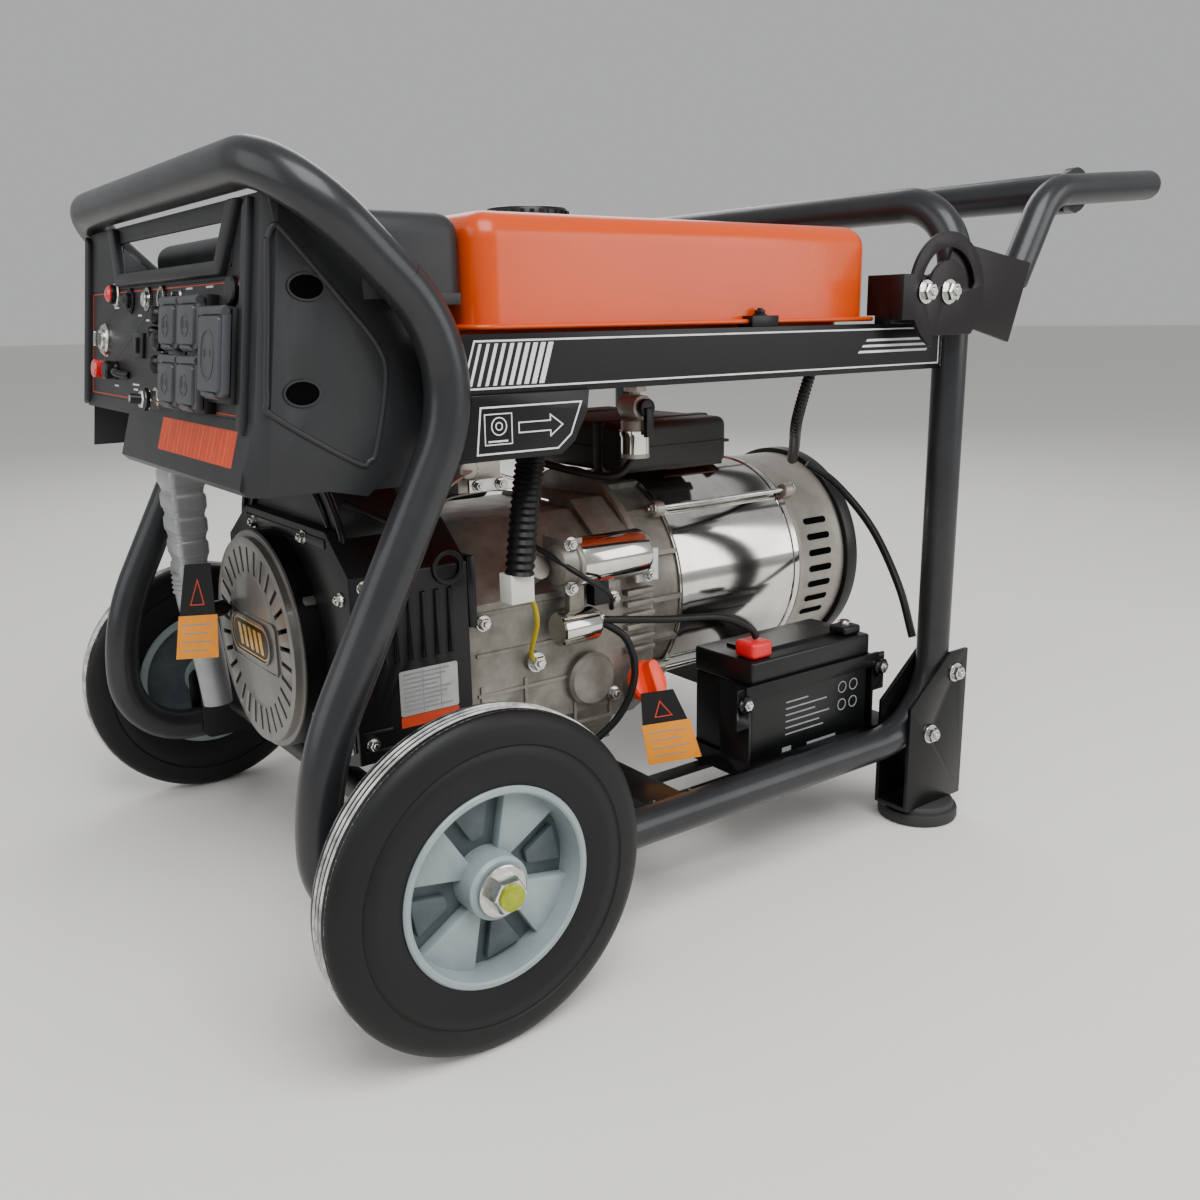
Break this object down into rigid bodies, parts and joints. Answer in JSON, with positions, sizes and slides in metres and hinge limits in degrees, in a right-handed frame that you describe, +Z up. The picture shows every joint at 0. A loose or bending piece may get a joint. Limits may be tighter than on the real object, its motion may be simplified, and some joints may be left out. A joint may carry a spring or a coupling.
{
  "type": "portable generator",
  "caption": "Open-frame petrol generator on a tube cradle with wheels, folding arms, a tank on top and a leaning control panel at one end.",
  "frame": {"origin": "centre of the overall box, on the floor that the wheels and feet stand on", "axes": "+Z up; -X is the control panel end and +X the handle end; Y runs across along the axle, with the battery on the -Y side"},
  "size_m": [1.018, 0.684, 0.6514],
  "materials": {
    "front_hoop": "satin charcoal powder coat",
    "near_side_tube": "satin charcoal powder coat",
    "far_side_tube": "satin charcoal powder coat",
    "rear_hoop": "satin charcoal powder coat",
    "near_rail": "satin black paint",
    "far_rail": "satin black paint",
    "cross_members": "satin black paint",
    "axle_brackets": "satin black paint",
    "axle": "zinc plated",
    "axle_nuts": "zinc plated",
    "near_tyre": "moulded solid rubber",
    "far_tyre": "moulded solid rubber",
    "near_hub": "moulded grey plastic",
    "far_hub": "moulded grey plastic",
    "rear_feet": "moulded rubber",
    "foot_brackets": "satin black paint",
    "foot_bolts": "zinc plated",
    "near_pivot_bracket": "satin black paint",
    "far_pivot_bracket": "satin black paint",
    "pivot_bolts": "zinc plated",
    "near_handle_arm": "satin charcoal powder coat",
    "far_handle_arm": "satin charcoal powder coat",
    "handle_grip": "satin charcoal",
    "handle_lock_bolts": "zinc plated",
    "fuel_tank": "gloss orange enamel",
    "tank_cover": "textured charcoal moulding",
    "fuel_cap": "moulded",
    "fuel_valve": "die cast",
    "fuel_valve_lever": "moulded",
    "label_plate": "satin black paint",
    "panel_shroud": "textured charcoal moulding",
    "panel_plate": "fine textured",
    "panel_fittings": "satin",
    "key_switch": "polished",
    "breaker_buttons_left": "gloss",
    "breaker_buttons_right": "gloss",
    "selector_switch": "fine textured",
    "lid_a_top": "fine textured",
    "lid_a_bottom": "fine textured",
    "lid_b_top": "fine textured",
    "lid_b_bottom": "fine textured",
    "lid_c": "fine textured",
    "crankcase": "sand cast",
    "gear_cover": "sand cast",
    "cylinder_head": "sand cast",
    "crankshaft": "machined",
    "recoil_pulley": "moulded nylon",
    "recoil_handle": "moulded",
    "blower_housing": "satin black",
    "recoil_cover": "satin grey",
    "muffler": "heat proof black",
    "air_cleaner": "satin black",
    "starter_motor": "bright plated",
    "oil_cap": "gloss",
    "stator": "laminated core with windings",
    "alternator_barrel": "bright rolled steel",
    "alternator_end_cover": "vented moulding",
    "battery": "moulded case",
    "battery_tray": "satin black paint",
    "harness": "flexible sleeve"
  },
  "bodies": {
    "frame": {"front_hoop": "front_hoop", "near_side_tube": "near_side_tube", "far_side_tube": "far_side_tube", "rear_hoop": "rear_hoop", "near_rail": "near_rail", "far_rail": "far_rail", "cross_members": "cross_members", "axle_brackets": "axle_brackets", "axle": "axle", "axle_nuts": "axle_nuts", "rear_feet": "rear_feet", "foot_brackets": "foot_brackets", "foot_bolts": "foot_bolts", "near_pivot_bracket": "near_pivot_bracket", "far_pivot_bracket": "far_pivot_bracket", "pivot_bolts": "pivot_bolts", "fuel_tank": "fuel_tank", "tank_cover": "tank_cover", "fuel_valve": "fuel_valve", "label_plate": "label_plate", "panel_shroud": "panel_shroud", "panel_plate": "panel_plate", "panel_fittings": "panel_fittings", "crankcase": "crankcase", "gear_cover": "gear_cover", "cylinder_head": "cylinder_head", "blower_housing": "blower_housing", "recoil_cover": "recoil_cover", "muffler": "muffler", "air_cleaner": "air_cleaner", "starter_motor": "starter_motor", "stator": "stator", "alternator_barrel": "alternator_barrel", "alternator_end_cover": "alternator_end_cover", "battery": "battery", "battery_tray": "battery_tray", "harness": "harness"},
    "near_wheel": {"near_tyre": "near_tyre", "near_hub": "near_hub"},
    "far_wheel": {"far_tyre": "far_tyre", "far_hub": "far_hub"},
    "handle": {"near_handle_arm": "near_handle_arm", "far_handle_arm": "far_handle_arm", "handle_grip": "handle_grip", "handle_lock_bolts": "handle_lock_bolts"},
    "fuel_cap": {"fuel_cap": "fuel_cap"},
    "fuel_valve_lever": {"fuel_valve_lever": "fuel_valve_lever"},
    "key_switch": {"key_switch": "key_switch"},
    "breaker_button_left": {"breaker_buttons_left": "breaker_buttons_left"},
    "breaker_button_right": {"breaker_buttons_right": "breaker_buttons_right"},
    "selector_switch": {"selector_switch": "selector_switch"},
    "lid_a_top": {"lid_a_top": "lid_a_top"},
    "lid_a_bottom": {"lid_a_bottom": "lid_a_bottom"},
    "lid_b_top": {"lid_b_top": "lid_b_top"},
    "lid_b_bottom": {"lid_b_bottom": "lid_b_bottom"},
    "lid_c": {"lid_c": "lid_c"},
    "crankshaft": {"crankshaft": "crankshaft"},
    "recoil_pulley": {"recoil_pulley": "recoil_pulley"},
    "recoil_handle": {"recoil_handle": "recoil_handle"},
    "oil_cap": {"oil_cap": "oil_cap"}
  },
  "joints": [
    {"name": "near_wheel_spin", "type": "hinge", "parent": "frame", "child": "near_wheel", "pos_m": [-0.382, -0.306, 0.127], "axis": [0, 1, 0], "continuous": true},
    {"name": "far_wheel_spin", "type": "hinge", "parent": "frame", "child": "far_wheel", "pos_m": [-0.382, 0.306, 0.127], "axis": [0, 1, 0], "continuous": true},
    {"name": "handle_fold", "type": "hinge", "parent": "frame", "child": "handle", "pos_m": [0.137, 0, 0.526], "axis": [0, 1, 0], "range_deg": [0, 62]},
    {"name": "fuel_cap_turn", "type": "hinge", "parent": "frame", "child": "fuel_cap", "pos_m": [-0.132, 0, 0.589], "axis": [0, 0, 1], "range_deg": [0, 90]},
    {"name": "fuel_valve_turn", "type": "hinge", "parent": "frame", "child": "fuel_valve_lever", "pos_m": [-0.099, -0.136, 0.429], "axis": [0, 1, 0], "range_deg": [0, 90]},
    {"name": "key_turn", "type": "hinge", "parent": "frame", "child": "key_switch", "pos_m": [-0.48672, 0.157, 0.49681], "axis": [-0.9925, 0, 0.1219], "range_deg": [0, 75]},
    {"name": "breaker_push_left", "type": "slide", "parent": "frame", "child": "breaker_button_left", "axis": [0.9925, 0, -0.1219], "range_m": [0, 0.003], "stiffness_N_per_m": 400, "springref_m": -0.001},
    {"name": "breaker_push_right", "type": "slide", "parent": "frame", "child": "breaker_button_right", "axis": [0.9925, 0, -0.1219], "range_m": [0, 0.003], "stiffness_N_per_m": 400, "springref_m": -0.001},
    {"name": "selector_rock", "type": "hinge", "parent": "frame", "child": "selector_switch", "pos_m": [-0.47582, -0.03, 0.50353], "axis": [0, 1, 0], "range_deg": [0, 16]},
    {"name": "lid_a_top_flip", "type": "hinge", "parent": "frame", "child": "lid_a_top", "pos_m": [-0.48995, -0.076, 0.52542], "axis": [0, 1, 0], "range_deg": [0, 100], "stiffness_Nm_per_rad": 0.01, "springref_deg": -17.19},
    {"name": "lid_a_bottom_flip", "type": "hinge", "parent": "frame", "child": "lid_a_bottom", "pos_m": [-0.49495, -0.076, 0.48472], "axis": [0, 1, 0], "range_deg": [0, 100], "stiffness_Nm_per_rad": 0.01, "springref_deg": -17.19},
    {"name": "lid_b_top_flip", "type": "hinge", "parent": "frame", "child": "lid_b_top", "pos_m": [-0.48995, -0.121, 0.52542], "axis": [0, 1, 0], "range_deg": [0, 100], "stiffness_Nm_per_rad": 0.01, "springref_deg": -17.19},
    {"name": "lid_b_bottom_flip", "type": "hinge", "parent": "frame", "child": "lid_b_bottom", "pos_m": [-0.49495, -0.121, 0.48472], "axis": [0, 1, 0], "range_deg": [0, 100], "stiffness_Nm_per_rad": 0.01, "springref_deg": -17.19},
    {"name": "lid_c_flip", "type": "hinge", "parent": "frame", "child": "lid_c", "pos_m": [-0.49093, -0.17, 0.51748], "axis": [0, 1, 0], "range_deg": [0, 100], "stiffness_Nm_per_rad": 0.01, "springref_deg": -17.19},
    {"name": "crank_spin", "type": "hinge", "parent": "frame", "child": "crankshaft", "pos_m": [-0.382, 0, 0.242], "axis": [1, 0, 0], "continuous": true},
    {"name": "recoil_pull", "type": "slide", "parent": "frame", "child": "recoil_handle", "axis": [-1, 0, 0], "range_m": [0, 0.4], "stiffness_N_per_m": 20, "springref_m": -0.1},
    {"name": "recoil_pulley_spin", "type": "hinge", "parent": "frame", "child": "recoil_pulley", "pos_m": [-0.412, 0, 0.242], "axis": [1, 0, 0], "range_deg": [0, 500]},
    {"name": "oil_cap_turn", "type": "hinge", "parent": "frame", "child": "oil_cap", "pos_m": [-0.114, -0.15, 0.176], "axis": [0, -0.8944, 0.4472], "range_deg": [0, 180]}
  ],
  "couplings": [
    {"joint": "recoil_pulley_spin", "follows": "recoil_pull", "rad_per_m": 21.739}
  ]
}
